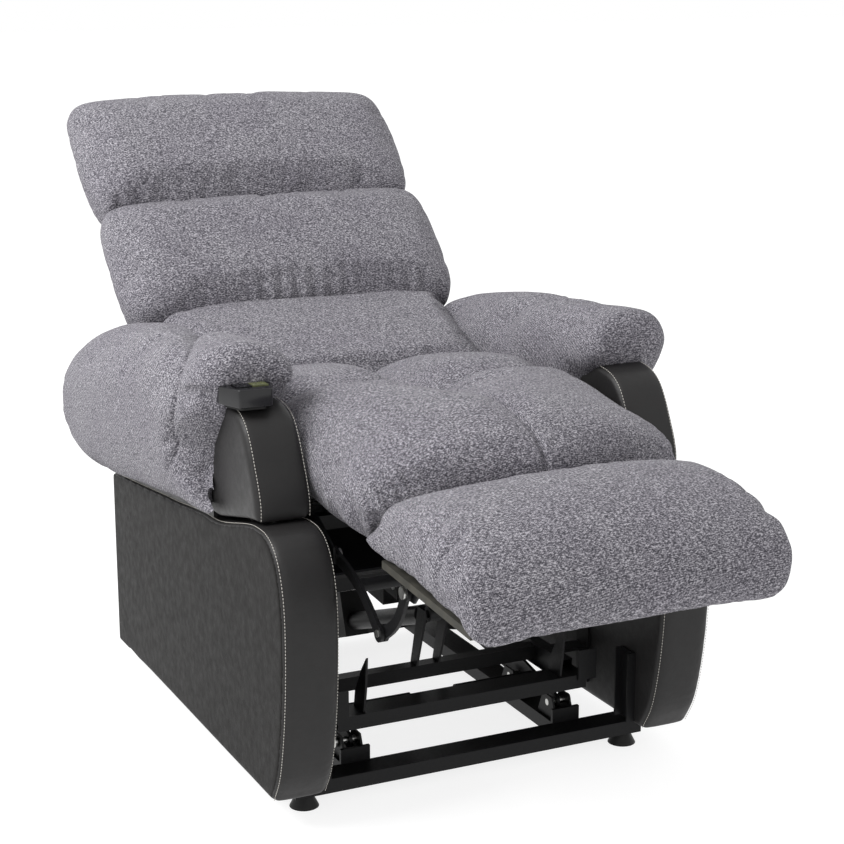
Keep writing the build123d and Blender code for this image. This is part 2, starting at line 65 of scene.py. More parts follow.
VOXEL = 0.006
CLOTH_FRAMES = 16
TUFT_BACK = 0.275          # how far back the seat's tuft lies
HEAD_SEAM = 0.589          # how far up the back each pillow's lower seam lies
MID_SEAM = 0.302
FLAP_FOOT = 0.458          # the height from which an arm pad's outer flap is drawn
FLAP_RISE = 0.29           # and the height over which it turns from the panel's line to the arm's top line
FLAP_GAP = 0.002           # the gap between the flap and the panel's top
ARM_BOX_BACK = 0.770       # where the arm pad's stuffed rear end begins
STITCH_IN = 0.004          # how far a row of stitches lies inside a panel's edge
FACING_STITCH = 0.010      # and inside a facing's outer edge


# ---- curves ----
def smooth_curve(points, count, closed=False):
    """Catmull-Rom points through the control points, evenly spaced along the curve."""
    p = np.array(points, float)
    if closed:
        p = np.vstack([p[-1], p, p[0], p[1]])
    else:
        p = np.vstack([2 * p[0] - p[1], p, 2 * p[-1] - p[-2]])
    out = []
    t = np.linspace(0, 1, 24, endpoint=False)[:, None]
    for a, b, c, d in zip(p[:-3], p[1:-2], p[2:-1], p[3:]):
        out.append(0.5 * (2 * b + (c - a) * t + (2 * a - 5 * b + 4 * c - d) * t ** 2
                          + (3 * b - a - 3 * c + d) * t ** 3))
    out.append(p[-2][None, :])
    line = np.vstack(out)
    length = np.concatenate([[0], np.cumsum(np.linalg.norm(np.diff(line, axis=0), axis=1))])
    at = np.linspace(0, length[-1], count + 1 if closed else count)
    line = np.stack([np.interp(at, length, line[:, k]) for k in range(line.shape[1])], axis=1)
    return line[:-1] if closed else line


def back_point(along, proud):
    """(y, z) of a point of the reclined back: up the back from the hinge, and out of it."""
    y = HINGE[1] + along * math.cos(BACK_SLOPE) - proud * math.sin(BACK_SLOPE)
    z = HINGE[2] + along * math.sin(BACK_SLOPE) + proud * math.cos(BACK_SLOPE)
    return y, z


# ---- meshes ----
def new_object(name, vertices, faces):
    mesh = bpy.data.meshes.new(name)
    mesh.from_pydata([tuple(map(float, v)) for v in vertices], [], faces)
    mesh.validate()
    obj = bpy.data.objects.new(name, mesh)
    bpy.context.scene.collection.objects.link(obj)
    return obj


def loft(name, rings):
    """A closed skin over rings of points, with both end rings filled."""
    rings = np.array(rings, float)
    rows, around = rings.shape[:2]
    faces = []
    for r in range(rows - 1):
        for k in range(around):
            n = (k + 1) % around
            faces.append((r * around + k, r * around + n, (r + 1) * around + n, (r + 1) * around + k))
    vertices = list(rings.reshape(-1, 3))
    for row, turn in ((0, 1), (rows - 1, -1)):
        middle = len(vertices)
        vertices.append(rings[row].mean(axis=0))
        for k in range(around):
            ring = (row * around + k, row * around + (k + 1) % around)
            faces.append((middle,) + (ring[::-1] if turn > 0 else ring))
    obj = new_object(name, vertices, faces)
    fix_normals(obj)
    return obj


def fix_normals(obj):
    bm = bmesh.new()
    bm.from_mesh(obj.data)
    bmesh.ops.recalc_face_normals(bm, faces=bm.faces)
    bm.to_mesh(obj.data)
    bm.free()


def shade_smooth(obj):
    obj.data.polygons.foreach_set("use_smooth", [True] * len(obj.data.polygons))


def coordinates(obj):
    co = np.zeros(len(obj.data.vertices) * 3)
    obj.data.vertices.foreach_get("co", co)
    return co.reshape(-1, 3)


def normals(obj):
    out = np.zeros(len(obj.data.vertices) * 3)
    obj.data.vertex_normals.foreach_get("vector", out)
    return out.reshape(-1, 3)


def set_coordinates(obj, co):
    obj.data.vertices.foreach_set("co", np.ascontiguousarray(co, dtype=np.float32).reshape(-1))
    obj.data.update()


def apply_modifiers(obj):
    """The object's mesh becomes what its modifiers make of it."""
    graph = bpy.context.evaluated_depsgraph_get()
    mesh = bpy.data.meshes.new_from_object(obj.evaluated_get(graph))
    obj.modifiers.clear()
    obj.data = mesh


def remesh(obj, size=VOXEL):
    modifier = obj.modifiers.new("remesh", "REMESH")
    modifier.mode = "VOXEL"
    modifier.voxel_size = size
    apply_modifiers(obj)


def relax(obj, factor=0.5, times=8):
    modifier = obj.modifiers.new("relax", "SMOOTH")
    modifier.factor = factor
    modifier.iterations = times
    apply_modifiers(obj)


def subdivide(obj, levels=1):
    modifier = obj.modifiers.new("round", "SUBSURF")
    modifier.levels = levels
    modifier.render_levels = levels
    apply_modifiers(obj)


def puff(obj, cap=0.022, pressure=4.0, held=None):
    """Inflates a stuffed cover as cloth, and lets no point move further than cap."""
    start = coordinates(obj)
    cloth = obj.modifiers.new("cloth", "CLOTH")
    settings = cloth.settings
    settings.quality = 5
    settings.mass = 0.3
    settings.tension_stiffness = 12
    settings.compression_stiffness = 12
    settings.shear_stiffness = 4
    settings.bending_stiffness = 0.6
    settings.use_pressure = True
    settings.uniform_pressure_force = pressure
    settings.effector_weights.gravity = 0
    settings.shrink_min = -0.02
    cloth.collision_settings.use_collision = False
    if held is not None:
        group = obj.vertex_groups.new(name="held")
        for weight in (0.35, 0.7, 1.0):
            chosen = np.where((held > weight - 0.175) & (held <= weight + 0.175))[0]
            group.add([int(i) for i in chosen], weight, "REPLACE")
        settings.vertex_group_mass = "held"
        settings.pin_stiffness = 0.6
    scene = bpy.context.scene
    cloth.point_cache.frame_start = 1
    cloth.point_cache.frame_end = CLOTH_FRAMES
    for n in range(1, CLOTH_FRAMES + 1):
        scene.frame_set(n)
    apply_modifiers(obj)
    scene.frame_set(1)
    end = coordinates(obj)
    move = end - start
    far = np.linalg.norm(move, axis=1, keepdims=True)
    set_coordinates(obj, start + move * np.minimum(1.0, cap / np.maximum(far, 1e-9)))


def noise_at(co, scale, seed):
    """Smooth noise of about -1..1 at each point, from a few waves in chance directions."""
    chance = np.random.default_rng(seed)
    total = np.zeros(len(co))
    for _ in range(9):
        way = chance.normal(size=3)
        way *= scale * chance.uniform(0.6, 1.5) * 2.2 / np.linalg.norm(way)
        total += np.sin(co @ way + chance.uniform(0, 6.3))
    return total / 3.6


def lumps(obj, amount, scale, seed):
    """Soft unevenness of stuffing under a cover."""
    co = coordinates(obj)
    set_coordinates(obj, co + normals(obj) * (noise_at(co, scale, seed) * amount)[:, None])


def bell(distance, width):
    return np.exp(-(distance / width) ** 2)


# ---- cushions ----
def pillow(name, section, half, around=72, rows=71, corner=26.0, crown=10.0, shape=None):
    """A stuffed pillow across the chair: a closed side-view section that closes in at both ends."""
    ring = smooth_curve(section, around, closed=True)
    middle = (ring.max(axis=0) + ring.min(axis=0)) / 2
    rings = []
    for u in np.linspace(-1, 1, rows):
        t = math.sin(u * math.pi / 2)
        here = ring.copy()
        if shape:
            here = shape(here, t)
        long_way = max(1 - abs(t) ** corner, 0.0) ** 0.45
        thick_way = max(1 - abs(t) ** crown, 0.0) ** 0.5
        here = middle + (here - middle) * (0.14 + 0.86 * np.array([long_way, thick_way]))
        rings.append([(t * half, a, b) for a, b in here])
    return loft(name, rings)


def smooth_step(value, low, high):
    t = np.clip((value - low) / (high - low), 0, 1)
    return t * t * (3 - 2 * t)


def place_on_back(obj):
    co = coordinates(obj)
    y, z = back_point(co[:, 1], co[:, 2])
    set_coordinates(obj, np.stack([co[:, 0], y, z], axis=1))


def place_level(obj):
    co = coordinates(obj)
    co[:, 1] += Y0
    set_coordinates(obj, co)


def finish_cushion(obj, body, node, material, crease=None):
    subdivide(obj)
    if crease:
        co = coordinates(obj)
        set_coordinates(obj, co - normals(obj) * crease(co)[:, None])
    shade_smooth(obj)
    obj.data.materials.clear()
    obj.data.materials.append(material)
    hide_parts(node)
    if body:
        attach(obj, body)


def puckers(obj, seam, reach, amount, seed):
    """Short gathered folds that run square into a seam at one height up the back."""
    co = coordinates(obj)
    away = np.abs(co[:, 1] - seam)
    strength = np.clip(noise_at(co * (1, 0, 0), 9.0, seed) + 0.25, 0, 1)
    wave = np.sin(co[:, 0] * 170 + noise_at(co, 8.0, seed + 1) * 2.5)
    front = np.clip(co[:, 2] / 0.03, 0, 1)
    push = wave * np.exp(-away / reach) * strength * front
    set_coordinates(obj, co + normals(obj) * (push * amount)[:, None])


def back_shape(ring, t):
    """The pillow's front face swells a little towards the middle of the chair."""
    high = np.clip(ring[:, 1] / 0.09, 0, 1)
    ring[:, 1] += high * 0.008 * (1 - t * t)
    return ring


def headrest(material):
    section = [(0.605, -0.030), (0.590, 0.008), (0.587, 0.044), (0.601, 0.076), (0.640, 0.092),
               (0.710, 0.096), (0.785, 0.093), (0.846, 0.081), (0.882, 0.054), (0.900, 0.012),
               (0.896, -0.026), (0.755, -0.034)]
    obj = pillow("headrest_cushion", section, 0.350, shape=back_shape)
    remesh(obj)
    puckers(obj, HEAD_SEAM, 0.030, 0.0045, 3)
    place_on_back(obj)
    puff(obj, 0.012)
    lumps(obj, 0.0035, 6.0, 5)
    finish_cushion(obj, "back", "headrest_pillow", material)


def mid_pillow(material):
    section = [(0.322, -0.030), (0.303, 0.008), (0.300, 0.044), (0.314, 0.078), (0.356, 0.095),
               (0.430, 0.100), (0.512, 0.096), (0.567, 0.084), (0.597, 0.056), (0.609, 0.016),
               (0.589, -0.030), (0.460, -0.034)]
    obj = pillow("mid_back_cushion", section, 0.353, shape=back_shape)
    remesh(obj)
    puckers(obj, MID_SEAM, 0.032, 0.0055, 7)
    place_on_back(obj)
    puff(obj, 0.012)
    lumps(obj, 0.0035, 6.0, 9)
    finish_cushion(obj, "back", "mid_back_pillow", material)


def lower_pillow(material):
    section = [(0.080, 0.010), (0.020, 0.110), (0.020, 0.175), (0.060, 0.192), (0.130, 0.165),
               (0.220, 0.122), (0.278, 0.090), (0.322, 0.056), (0.324, -0.006), (0.180, -0.010)]
    obj = pillow("lower_back_cushion", section, 0.302)
    remesh(obj)
    place_on_back(obj)
    puff(obj, 0.010)
    lumps(obj, 0.0035, 6.0, 12)
    finish_cushion(obj, None, "lower_back_pillow", material)
    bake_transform(obj)


def seat_shape(ring, t):
    """The seat's front roll swells forward and up at the middle, and falls away to both sides."""
    front = smooth_step(-ring[:, 0], -0.26, 0.05)
    high = smooth_step(ring[:, 1], 0.53, 0.62)
    ring[:, 0] += 0.052 * t * t * front
    ring[:, 1] -= (0.058 * t * t * front + 0.018 * t ** 4) * high
    return ring


def seat_cushion(material):
    section = [(0.020, 0.480), (-0.060, 0.488), (-0.128, 0.520), (-0.166, 0.572), (-0.162, 0.624),
               (-0.120, 0.660), (-0.040, 0.682), (0.060, 0.688), (0.160, 0.684), (0.260, 0.680),
               (0.340, 0.676), (0.450, 0.658), (0.545, 0.628), (0.560, 0.590), (0.500, 0.560),
               (0.448, 0.500), (0.250, 0.490)]
    obj = pillow("seat_pad", section, 0.299, corner=24.0, crown=9.0, shape=seat_shape)
    remesh(obj)
    co = coordinates(obj)
    top = smooth_step(co[:, 2], 0.53, 0.60)
    x, y = co[:, 0], co[:, 1]
    rear = smooth_step(y, 0.0, 0.24)
    seam = bell(x, 0.007) * 0.004 + (bell(x, 0.062) * 0.026 + bell(x, 0.016) * 0.008) * rear
    across = (bell(y - TUFT_BACK, 0.048) * 0.018 + bell(y - TUFT_BACK, 0.012) * 0.006) * bell(x, 0.34)
    tuft = bell(np.hypot(x, y - TUFT_BACK), 0.055) * 0.016
    wide = 1 + 0.045 * smooth_step(-y, -0.02, 0.06)
    co[:, 2] -= top * (np.maximum(seam, across) + tuft)
    co[:, 0] *= wide
    set_coordinates(obj, co)
    corner = np.hypot((np.abs(co[:, 0]) - 0.30) / 0.13, (co[:, 1] + 0.10) / 0.09)
    corner = np.hypot(corner, (co[:, 2] - 0.53) / 0.07)
    folds = np.sin((np.abs(co[:, 0]) * 1.1 - co[:, 2] * 0.7) * 210 + noise_at(co, 9, 4) * 2)
    set_coordinates(obj, co + normals(obj) * (folds * 0.0045 * np.exp(-corner ** 2))[:, None])
    place_level(obj)
    held = bell(coordinates(obj)[:, 0], 0.012) * top
    puff(obj, 0.010, held=held)
    lumps(obj, 0.0045, 6.0, 21)
    finish_cushion(obj, "chassis", "seat_cushion", material, seat_seam)


def seat_seam(co):
    """The stitched line down the middle of the seat's front lobes."""
    shown = smooth_step(co[:, 2], 0.56, 0.60) * smooth_step(co[:, 1], 0.30 + Y0, 0.20 + Y0)
    return bell(co[:, 0] - 0.002, 0.0040) * 0.0090 * shown


def footrest_shape(ring, t):
    """The footrest's top swells at the middle, and its rear edge follows the seat's front roll."""
    rear = smooth_step(ring[:, 0], -0.30, -0.15)
    high = smooth_step(ring[:, 1], 0.50, 0.60)
    ring[:, 0] += 0.040 * t * t * rear
    ring[:, 1] -= 0.024 * t * t * high
    return ring


def footrest_cushion(material):
    section = [(-0.100, 0.494), (-0.140, 0.530), (-0.162, 0.572), (-0.190, 0.602), (-0.255, 0.617),
               (-0.330, 0.611), (-0.392, 0.588), (-0.432, 0.553), (-0.448, 0.508), (-0.447, 0.464),
               (-0.440, 0.444), (-0.424, 0.442), (-0.410, 0.462), (-0.270, 0.478), (-0.120, 0.490)]
    obj = pillow("footrest_cushion", section, 0.282, corner=40.0, crown=16.0, shape=footrest_shape)
    remesh(obj)
    co = coordinates(obj)
    side = smooth_step(np.abs(co[:, 0]), 0.235, 0.285)
    folds = np.sin(co[:, 1] * 150 + noise_at(co, 10, 34) * 2.4)
    near = bell(co[:, 2] - 0.535, 0.055)
    set_coordinates(obj, co + normals(obj) * (folds * 0.0020 * side * near)[:, None])
    place_level(obj)
    puff(obj, 0.010)
    lumps(obj, 0.0035, 6.0, 31)
    finish_cushion(obj, "footrest", "footrest_pad", material)


def arm_rear(z, inside):
    """How far back the arm pad reaches at each height, less far on its side towards the seat."""
    return np.interp(z, [0.45, 0.50, 0.58, 0.66, 0.78], [0.850, 0.905, 0.920, 0.908, 0.880]) - 0.085 * inside


def arm_line(co):
    """How far each point lies behind the seam between the pad's front roll and its long rear part."""
    line = np.interp(co[:, 2], [0.45, 0.56, 0.66, 0.74, 0.78], [0.400, 0.300, 0.262, 0.290, 0.330])
    return co[:, 1] - line - 0.24 * smooth_step(0.44 - np.abs(co[:, 0]), 0.0, 0.15)


def arm_seam(co):
    """The stitched line of that seam."""
    shown = smooth_step(co[:, 2], 0.52, 0.58) * smooth_step(np.abs(co[:, 0]), 0.30, 0.34)
    return bell(arm_line(co - (0, Y0, 0)), 0.0036) * 0.0055 * shown


def arm_end(side, outer, panel):
    """The stuffed rear end that closes the sleeve behind the arm box."""
    section = np.vstack([outer, [(0.396, 0.440), (0.350, 0.440), (0.302, 0.470)]])
    section[:, 0] = np.maximum(section[:, 0], 0.291)
    x, z = section[:, 0], section[:, 1]
    inside = np.clip((0.34 - x) / 0.05, 0, 1)
    rear = arm_rear(z, inside)
    rings = []
    for t in np.linspace(0, 1, 15):
        y = ARM_BOX_BACK + (rear - ARM_BOX_BACK) * t
        top_z = z - np.interp(y, [0.77, 0.90], [0.066, 0.100])
        ground = np.interp(y, panel[:, 0], panel[:, 1]) + FLAP_GAP
        outside = np.clip((x - 0.385) / 0.02, 0, 1)
        high = np.clip((z - FLAP_FOOT) / FLAP_RISE, 0, 1)
        zz = np.where(outside > 0, (ground + z - FLAP_FOOT) * (1 - high) + top_z * high, top_z)
        ring = np.stack([side * x, y, np.maximum(zz, ground)], axis=1)
        middle = ring.mean(axis=0)
        rings.append(middle + (ring - middle) * (1, 1, 1 - 0.10 * t ** 4))
    return loft("arm_end", rings)


def merge(obj, other):
    """Adds the other object's mesh to this one and deletes the other."""
    bm = bmesh.new()
    bm.from_mesh(obj.data)
    bm.from_mesh(other.data)
    bm.to_mesh(obj.data)
    bm.free()
    bpy.data.objects.remove(other)


def arm_saddle(name, side, node, material):
    """The saddle pad: a thick fabric sleeve over the arm and down its outer side, open at the front."""
    count = 44
    outer = smooth_curve([(0.290, 0.596), (0.278, 0.664), (0.282, 0.716), (0.310, 0.750), (0.352, 0.762),
                          (0.400, 0.758), (0.438, 0.738), (0.460, 0.698), (0.467, 0.636), (0.462, 0.564),
                          (0.444, 0.506), (0.415, 0.470), (0.400, 0.458)], count)
    inner = smooth_curve([(0.300, 0.612), (0.303, 0.660), (0.312, 0.678), (0.350, 0.682), (0.380, 0.678),
                          (0.391, 0.660), (0.395, 0.610), (0.396, 0.540), (0.396, 0.490),
                          (0.397, 0.458)], count)
    panel = panel_line()
    rings = []
    lip = np.concatenate([np.zeros(count), np.full(count, 0.036)])
    for v in np.linspace(0, 1, 91):
        front_end = math.sqrt(max(1 - max(0.0, (0.055 - v) / 0.055) ** 2, 0.0))
        rear_end = max(1 - max(0.0, (v - 0.90) / 0.10) ** 4, 0.0) ** 0.5
        e = 0.12 + 0.88 * front_end * rear_end
        drop = np.interp(v, [0, 0.055, 0.236, 0.375, 0.5, 0.61, 0.82, 0.92, 1.0],
                         [0.000, -0.008, 0.004, 0.014, 0.024, 0.035, 0.062, 0.080, 0.100])
        bulge = np.interp(v, [0, 0.1, 0.25, 0.5, 0.8, 1.0], [-0.014, -0.006, -0.003, 0.004, 0.004, -0.002])
        out = inner + (outer - inner) * e
        out[:, 0] += bulge * np.clip((out[:, 0] - 0.38) / 0.06, 0, 1)
        out[:, 0] += 0.013 * smooth_step(v, 0.40, 0.60) * np.clip((0.34 - out[:, 0]) / 0.05, 0, 1)
        ring = np.vstack([out, inner[::-1]])
        z = ring[:, 1].copy()
        front = np.interp(z, [0.45, 0.475, 0.505, 0.54, 0.58, 0.62, 0.66, 0.70, 0.78],
                          [0.208, 0.220, 0.256, 0.272, 0.262, 0.234, 0.198, 0.172, 0.158])
        inside = np.clip((0.34 - ring[:, 0]) / 0.05, 0, 1)
        front = front + 0.035 * inside * smooth_step(0.70 - z, 0.0, 0.06)
        front += lip * (1 - inside) * smooth_step(z, 0.46, 0.52) - 0.010 * inside
        rear = arm_rear(z, inside)
        y = front + (rear - front) * v
        floor_line = np.interp(y, panel[:, 0], panel[:, 1])
        high = np.clip((z - FLAP_FOOT) / FLAP_RISE, 0, 1)
        over_pod = (smooth_step(-y, -0.262, -0.225) * smooth_step(z, 0.655, 0.676)
                    * smooth_step(-z, -0.700, -0.684))
        top_z = z - drop + (0.036 * over_pod if side < 0 else 0.0)
        low_z = floor_line + FLAP_GAP + (z - FLAP_FOOT)
        outside = np.clip((ring[:, 0] - 0.385) / 0.02, 0, 1)
        zz = np.where(outside > 0, low_z * (1 - high) + top_z * high, top_z)
        rings.append([(side * x, yy, h) for (x, _), yy, h in zip(ring, y, zz)])
    obj = loft(name, rings)
    merge(obj, arm_end(side, outer, panel))
    remesh(obj)
    relax(obj, 0.5, 5)
    co = coordinates(obj)
    away = arm_line(co)
    shown = smooth_step(co[:, 2], 0.50, 0.56)
    dent = (bell(away, 0.007) * 0.005 + bell(away, 0.048) * 0.020 * smooth_step(co[:, 2], 0.64, 0.72)) * shown
    set_coordinates(obj, co - normals(obj) * dent[:, None])
    relax(obj, 0.5, 2)
    place_level(obj)
    puff(obj, 0.010)
    lumps(obj, 0.005, 5.0, 40 + side)
    finish_cushion(obj, "chassis", node, material, arm_seam)


# ---- materials ----
def new_material(name):
    material = bpy.data.materials.new(name)
    material.use_nodes = True
    tree = material.node_tree
    return material, tree, tree.nodes["Principled BSDF"]


def link_nodes(tree, *pairs):
    for source, target in pairs:
        tree.links.new(source, target)


def add(tree, kind, **values):
    """A shader node with its plain settings and its sockets' values set by name."""
    node = tree.nodes.new("ShaderNode" + kind)
    for key, value in values.items():
        if key in node.inputs:
            node.inputs[key].default_value = value
        else:
            setattr(node, key, value)
    return node


def ramp(tree, stops):
    node = tree.nodes.new("ShaderNodeValToRGB")
    while len(node.color_ramp.elements) < len(stops):
        node.color_ramp.elements.new(0.5)
    for element, (at, colour) in zip(node.color_ramp.elements, stops):
        element.position = at
        element.color = (*colour, 1)
    return node


def twill(tree, where, along):
    """A wave across the cloth: the sine of the place measured along one slanting direction."""
    slant = tree.nodes.new("ShaderNodeVectorMath")
    slant.operation = "DOT_PRODUCT"
    slant.inputs[1].default_value = along
    wave = tree.nodes.new("ShaderNodeMath")
    wave.operation = "SINE"
    link_nodes(tree, (where, slant.inputs[0]), (slant.outputs["Value"], wave.inputs[0]))
    return wave.outputs[0]


def tweed():
    material, tree, shader = new_material("grey_tweed")
    where = add(tree, "TexCoord")
    bend = add(tree, "TexNoise", Scale=160.0, Detail=1.0, Roughness=0.5)
    shift = add(tree, "VectorMath", operation="MULTIPLY_ADD")
    shift.inputs[1].default_value = (0.0016, 0.0016, 0.0016)
    weft = twill(tree, shift.outputs[0], (1100, 1100, 1100))
    warp = twill(tree, shift.outputs[0], (1300, -1500, -300))
    cross = add(tree, "Math", operation="MULTIPLY")
    drawn = add(tree, "VectorMath", operation="MULTIPLY")
    drawn.inputs[1].default_value = (0.60, 0.95, 1.05)
    yarn = add(tree, "TexNoise", Scale=450.0, Detail=2.0, Roughness=0.65)
    patch = add(tree, "TexNoise", Scale=9.0, Detail=2.0, Roughness=0.5)
    mix = add(tree, "Math", operation="MULTIPLY_ADD")
    mix.inputs[1].default_value = 0.075
    colour = ramp(tree, [(0.34, (0.034, 0.033, 0.040)), (0.45, (0.094, 0.090, 0.104)),
                         (0.54, (0.178, 0.171, 0.190)), (0.68, (0.430, 0.418, 0.445))])
    tone = ramp(tree, [(0.35, (0.90, 0.89, 0.91)), (0.65, (1.0, 1.0, 1.0))])
    shade = add(tree, "Mix", data_type="RGBA", blend_type="MULTIPLY")
    shade.inputs[0].default_value = 1.0
    bump = add(tree, "Bump", Strength=0.45, Distance=0.0010)
    link_nodes(tree, (where.outputs["Object"], bend.inputs["Vector"]),
               (bend.outputs["Color"], shift.inputs[0]), (where.outputs["Object"], shift.inputs[2]),
               (where.outputs["Object"], drawn.inputs[0]), (drawn.outputs[0], yarn.inputs["Vector"]),
               (where.outputs["Object"], patch.inputs["Vector"]),
               (weft, cross.inputs[0]), (warp, cross.inputs[1]),
               (cross.outputs[0], mix.inputs[0]), (yarn.outputs[0], mix.inputs[2]),
               (mix.outputs[0], colour.inputs[0]), (patch.outputs[0], tone.inputs[0]),
               (colour.outputs[0], shade.inputs[6]), (tone.outputs[0], shade.inputs[7]),
               (shade.outputs[2], shader.inputs["Base Color"]),
               (mix.outputs[0], bump.inputs["Height"]),
               (bump.outputs[0], shader.inputs["Normal"]))
    shader.inputs["Roughness"].default_value = 0.95
    shader.inputs["Specular IOR Level"].default_value = 0.1
    shader.inputs["Sheen Weight"].default_value = 0.06
    shader.inputs["Sheen Roughness"].default_value = 0.6
    return material


def leather(name, dark, light, shine):
    material, tree, shader = new_material(name)
    where = add(tree, "TexCoord")
    grain = add(tree, "TexVoronoi", Scale=520.0, feature="DISTANCE_TO_EDGE")
    soft = add(tree, "TexNoise", Scale=60.0, Detail=4.0, Roughness=0.6)
    wide = add(tree, "TexNoise", Scale=7.0, Detail=2.0, Roughness=0.5)
    rough = ramp(tree, [(0.3, (0.40, 0.40, 0.40)), (0.7, (0.52, 0.52, 0.52))])
    colour = ramp(tree, [(0.3, dark), (0.7, light)])
    fine = add(tree, "Bump", Strength=0.35, Distance=0.0004)
    folds = add(tree, "Bump", Strength=0.25, Distance=0.002)
    link_nodes(tree, (where.outputs["Object"], grain.inputs["Vector"]),
               (where.outputs["Object"], soft.inputs["Vector"]),
               (where.outputs["Object"], wide.inputs["Vector"]),
               (soft.outputs[0], rough.inputs[0]), (wide.outputs[0], colour.inputs[0]),
               (rough.outputs[0], shader.inputs["Roughness"]),
               (colour.outputs[0], shader.inputs["Base Color"]),
               (soft.outputs[0], folds.inputs["Height"]), (grain.outputs[0], fine.inputs["Height"]),
               (folds.outputs[0], fine.inputs["Normal"]), (fine.outputs[0], shader.inputs["Normal"]))
    shader.inputs["Specular IOR Level"].default_value = shine
    return material


def coated(name, dark, light, roughness, scale, bump_depth, metallic=0.0, shine=0.5):
    """A finish of two close tones, with a fine uneven surface."""
    material, tree, shader = new_material(name)
    where = add(tree, "TexCoord")
    spread = add(tree, "TexNoise", Scale=scale, Detail=3.0, Roughness=0.6)
    colour = ramp(tree, [(0.35, dark), (0.65, light)])
    rough = ramp(tree, [(0.3, (roughness * 0.85,) * 3), (0.7, (min(roughness * 1.15, 1.0),) * 3)])
    bump = add(tree, "Bump", Strength=0.3, Distance=bump_depth)
    link_nodes(tree, (where.outputs["Object"], spread.inputs["Vector"]),
               (spread.outputs[0], colour.inputs[0]), (spread.outputs[0], rough.inputs[0]),
               (spread.outputs[0], bump.inputs["Height"]),
               (colour.outputs[0], shader.inputs["Base Color"]),
               (rough.outputs[0], shader.inputs["Roughness"]),
               (bump.outputs[0], shader.inputs["Normal"]))
    shader.inputs["Metallic"].default_value = metallic
    shader.inputs["Specular IOR Level"].default_value = shine
    return material


# ---- handset pod ----
def softened(node, width, material, body):
    """A copy of one of the frame's nodes with its hard edges rounded over."""
    source = frame["nodes"][node]
    obj = bpy.data.objects.new(f"{node}_soft", source.data.copy())
    obj.matrix_world = source.matrix_world
    bpy.context.scene.collection.objects.link(obj)
    bm = bmesh.new()
    bm.from_mesh(obj.data)
    bmesh.ops.remove_doubles(bm, verts=bm.verts, dist=1e-6)
    bmesh.ops.dissolve_limit(bm, angle_limit=math.radians(1.0), verts=bm.verts, edges=bm.edges)
    sharp = [e for e in bm.edges if e.is_manifold and e.is_convex and e.calc_face_angle() > math.radians(40)]
    bmesh.ops.bevel(bm, geom=sharp, offset=width, segments=4, profile=0.5, affect="EDGES", clamp_overlap=True)
    bm.to_mesh(obj.data)
    bm.free()
    obj.data.materials.clear()
    obj.data.materials.append(material)
    shade_smooth(obj)
    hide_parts(node)
    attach(obj, body)


# ---- side panels and facings ----
def panel_line():
    front = [(0.010, 0.056), (-0.020, 0.110), (-0.041, 0.200), (-0.051, 0.300), (-0.050, 0.390),
             (-0.036, 0.448), (-0.012, 0.484), (0.022, 0.501)]
    top = [(0.070, 0.502), (0.115, 0.494), (0.233, 0.466), (0.328, 0.459), (0.446, 0.443),
           (0.550, 0.432), (0.660, 0.419), (0.770, 0.407), (0.856, 0.397)]
    return smooth_curve(front + top, 90)


def facing_line():
    return smooth_curve([(0.060, 0.511), (0.059, 0.532), (0.067, 0.560), (0.082, 0.592), (0.098, 0.624),
                         (0.118, 0.652), (0.146, 0.669), (0.192, 0.676), (0.262, 0.676)], 60)


def leather_box(name, line, closing, side, inner, outer, bevel, crown, node, material):
    """A leather covered form: its side-view outline drawn out across the arm, its front band crowned."""
    outline = list(map(tuple, line)) + closing
    across = np.linspace(0, 1, 13)
    rings = []
    for t in across:
        x = inner + (outer - inner) * t
        lift = crown * (1 - (2 * t - 1) ** 4)
        edge = bevel * (abs(2 * t - 1) ** 24)
        ring = []
        middle = np.mean(outline, axis=0)
        for k, (y, z) in enumerate(outline):
            if k < len(line):
                d = np.array([y, z]) - middle
                d /= np.linalg.norm(d)
                y, z = np.array([y, z]) + d * (lift - edge)
            ring.append((side * x, y + Y0, z))
        rings.append(ring)
    obj = loft(name, rings)
    obj.data.materials.append(material)
    remesh(obj, 0.005)
    relax(obj, 0.5, 4)
    subdivide(obj)
    shade_smooth(obj)
    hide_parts(node)
    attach(obj, "chassis")
    return obj


def stitches(name, path, material, body="chassis", step=0.0056, long=0.0040, thick=0.00065):
    """A row of saddle stitches along a path of points, each a short rounded thread."""
    path = np.array(path, float)
    along = np.concatenate([[0], np.cumsum(np.linalg.norm(np.diff(path, axis=0), axis=1))])
    count = int(along[-1] / step)
    bm = bmesh.new()
    for n in range(count):
        ends = []
        for s in (n * step, n * step + long):
            ends.append(Vector([np.interp(s, along, path[:, k]) for k in range(3)]))
        way = ends[1] - ends[0]
        turn = way.to_track_quat("Z", "X").to_matrix().to_4x4()
        place = Matrix.Translation((ends[0] + ends[1]) / 2) @ turn
        bmesh.ops.create_uvsphere(bm, u_segments=8, v_segments=6, radius=1.0,
                                  matrix=place @ Matrix.Diagonal((thick, thick, way.length / 2, 1)))
    mesh = bpy.data.meshes.new(name)
    bm.to_mesh(mesh)
    bm.free()
    obj = bpy.data.objects.new(name, mesh)
    bpy.context.scene.collection.objects.link(obj)
    obj.data.materials.append(material)
    shade_smooth(obj)
    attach(obj, body)


def paint_outer_face_shade(obj, side, shade_copy):
    """The large outer face of a covered form takes a darker copy of the same black leather with less shine:
    painted shade on that face.
    """
    obj.data.materials.append(shade_copy)
    for face in obj.data.polygons:
        if face.normal.x * side > 0.90:
            face.material_index = 1


